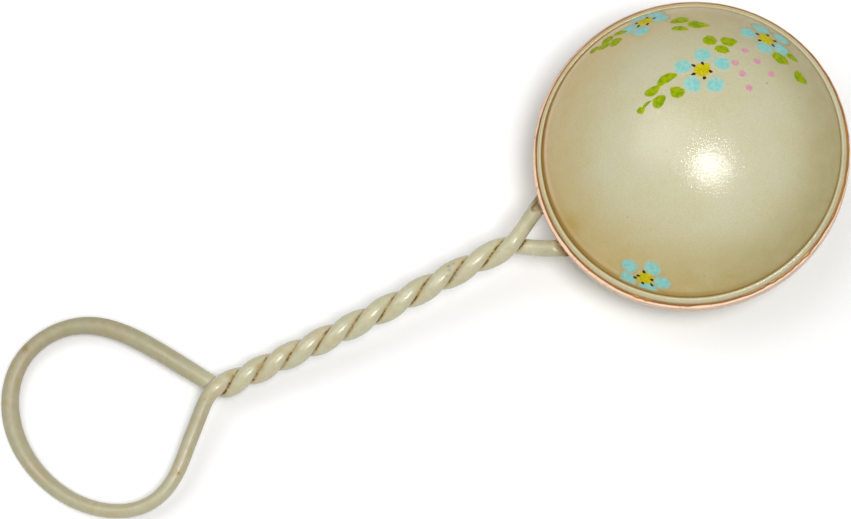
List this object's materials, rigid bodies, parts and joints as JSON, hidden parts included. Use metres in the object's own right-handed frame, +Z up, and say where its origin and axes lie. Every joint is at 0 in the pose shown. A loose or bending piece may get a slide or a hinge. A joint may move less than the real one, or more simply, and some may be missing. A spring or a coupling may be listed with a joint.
{
  "type": "baby rattle",
  "caption": "Antique celluloid baby rattle: round two-dome head with a painted flower spray, on a handle of twisted rod that ends in a finger loop.",
  "frame": {"origin": "middle of the bounding box's bottom, with the rattle lying on a table on its back dome and the far end of its loop", "axes": "+X along the handle towards the head, +Y across the handle, +Z up; the front dome faces up and the head leans back about 7.4 degrees"},
  "size_m": [0.181, 0.063, 0.0418],
  "materials": {
    "shell_celluloid": "aged cream celluloid, glossy, painted on the front",
    "hoop_celluloid": "aged cream celluloid, glossy",
    "rod_celluloid": "aged cream celluloid, glossy, grimy in the twist",
    "aged_cement": "amber-brown aged cement",
    "pellet_clay": "fired clay"
  },
  "bodies": {
    "rattle": {"front_shell": "shell_celluloid", "back_shell": "shell_celluloid", "front_shell_cement": "aged_cement", "back_shell_cement": "aged_cement", "rim_hoop": "hoop_celluloid", "handle_rod": "rod_celluloid", "upper_joint_cement": "aged_cement", "lower_joint_cement": "aged_cement"},
    "pellet_1": {"pellet_1": "pellet_clay"},
    "pellet_2": {"pellet_2": "pellet_clay"},
    "pellet_3": {"pellet_3": "pellet_clay"},
    "pellet_4": {"pellet_4": "pellet_clay"},
    "pellet_5": {"pellet_5": "pellet_clay"},
    "pellet_6": {"pellet_6": "pellet_clay"},
    "pellet_7": {"pellet_7": "pellet_clay"}
  },
  "joints": [
    {"name": "pellet_1_roll", "type": "hinge", "parent": "rattle", "child": "pellet_1", "pos_m": [0.05732, -0.015, 0.0344], "axis": [0, -1, 0], "range_deg": [-47.4, 62.1]},
    {"name": "pellet_2_roll", "type": "hinge", "parent": "rattle", "child": "pellet_2", "pos_m": [0.05732, -0.01, 0.0344], "axis": [0, -1, 0], "range_deg": [-50.3, 65]},
    {"name": "pellet_3_roll", "type": "hinge", "parent": "rattle", "child": "pellet_3", "pos_m": [0.05732, -0.005, 0.0344], "axis": [0, -1, 0], "range_deg": [-51.7, 66.5]},
    {"name": "pellet_4_roll", "type": "hinge", "parent": "rattle", "child": "pellet_4", "pos_m": [0.05732, 0, 0.0344], "axis": [0, -1, 0], "range_deg": [-52.2, 66.9]},
    {"name": "pellet_5_roll", "type": "hinge", "parent": "rattle", "child": "pellet_5", "pos_m": [0.05732, 0.005, 0.0344], "axis": [0, -1, 0], "range_deg": [-51.7, 66.5]},
    {"name": "pellet_6_roll", "type": "hinge", "parent": "rattle", "child": "pellet_6", "pos_m": [0.05732, 0.01, 0.0344], "axis": [0, -1, 0], "range_deg": [-50.3, 65]},
    {"name": "pellet_7_roll", "type": "hinge", "parent": "rattle", "child": "pellet_7", "pos_m": [0.05732, 0.015, 0.0344], "axis": [0, -1, 0], "range_deg": [-47.4, 62.1]}
  ]
}
